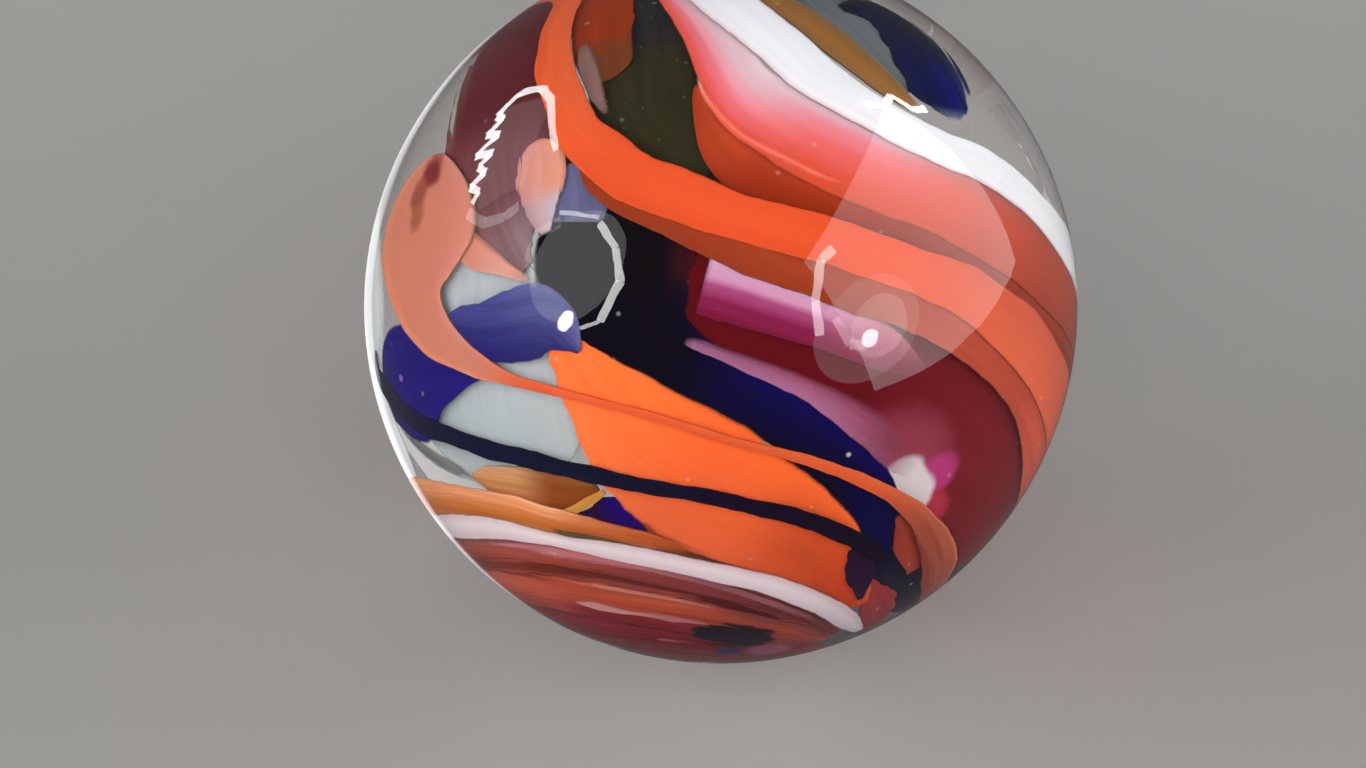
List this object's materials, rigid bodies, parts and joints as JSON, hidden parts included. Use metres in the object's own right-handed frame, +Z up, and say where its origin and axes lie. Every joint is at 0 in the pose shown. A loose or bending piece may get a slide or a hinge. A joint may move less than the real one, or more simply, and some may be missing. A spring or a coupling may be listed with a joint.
{
  "type": "glass marble",
  "caption": "Clear glass ball with a swirl of coloured glass ribbons, sheets and threads sealed just under its polished surface.",
  "frame": {"origin": "centre of the ball", "axes": "+Z up, and the face of the swirl that is looked at first leans back 45 degrees from -Y"},
  "size_m": [0.0254, 0.0254, 0.0254],
  "materials": {
    "clear_glass": "fire-polished clear glass, faintly rippled",
    "orange_ribbon": "opaque orange glass",
    "white_ribbon": "opaque white glass",
    "salmon_ribbon": "opal salmon glass",
    "navy_thread": "dense navy glass thread",
    "amber_ribbon": "translucent brown-orange glass",
    "pink_ribbon": "glass that fades from lilac through pink to coral",
    "ochre_ribbon": "translucent ochre glass",
    "cobalt_leaf": "cobalt glass, streaked",
    "cobalt_comma": "dense cobalt glass",
    "honey_ribbon": "honey glass with darker streaks",
    "ink_streak": "dark ink glass",
    "peach_chip": "peach glass that turns lilac at its lower end",
    "azure_chip": "blue-lilac opal glass",
    "garnet_ribbon": "translucent rust-red glass",
    "cobalt_plume": "cobalt glass, near black at its outer edge",
    "maroon_ribbon": "translucent maroon glass",
    "tangerine_sheet": "bright opaque orange glass",
    "russet_ribbon": "translucent russet glass",
    "magenta_ribbon": "glass that fades from lilac to magenta",
    "mauve_ribbon": "opal mauve glass",
    "brick_ribbon": "rust-orange glass with darker streaks",
    "white_tail": "opaque white glass",
    "aventurine_ribbon": "dark green glass with gold flecks",
    "opal_ribbon": "blue-grey opal glass",
    "black_ribbon": "black glass that turns to cobalt along its length",
    "toffee_streak": "translucent toffee glass",
    "indigo_chip": "dense indigo glass",
    "plum_ribbon": "mauve-brown glass with pale streaks",
    "opal_rim": "pale opal glass",
    "ruby_sheet": "translucent ruby glass with one pale spot",
    "cloud_sheet": "light grey opal glass",
    "crimson_sheet": "deep red glass"
  },
  "bodies": {
    "root": {"clear_glass": "clear_glass", "orange_ribbon": "orange_ribbon", "white_ribbon": "white_ribbon", "salmon_ribbon": "salmon_ribbon", "navy_thread": "navy_thread", "amber_ribbon": "amber_ribbon", "pink_ribbon": "pink_ribbon", "ochre_ribbon": "ochre_ribbon", "cobalt_leaf": "cobalt_leaf", "cobalt_comma": "cobalt_comma", "honey_ribbon": "honey_ribbon", "ink_streak": "ink_streak", "peach_chip": "peach_chip", "azure_chip": "azure_chip", "garnet_ribbon": "garnet_ribbon", "cobalt_plume": "cobalt_plume", "maroon_ribbon": "maroon_ribbon", "tangerine_sheet": "tangerine_sheet", "russet_ribbon": "russet_ribbon", "magenta_ribbon": "magenta_ribbon", "mauve_ribbon": "mauve_ribbon", "brick_ribbon": "brick_ribbon", "white_tail": "white_tail", "aventurine_ribbon": "aventurine_ribbon", "opal_ribbon": "opal_ribbon", "black_ribbon": "black_ribbon", "toffee_streak": "toffee_streak", "indigo_chip": "indigo_chip", "plum_ribbon": "plum_ribbon", "opal_rim": "opal_rim", "ruby_sheet": "ruby_sheet", "cloud_sheet": "cloud_sheet", "crimson_sheet": "crimson_sheet"}
  },
  "joints": []
}
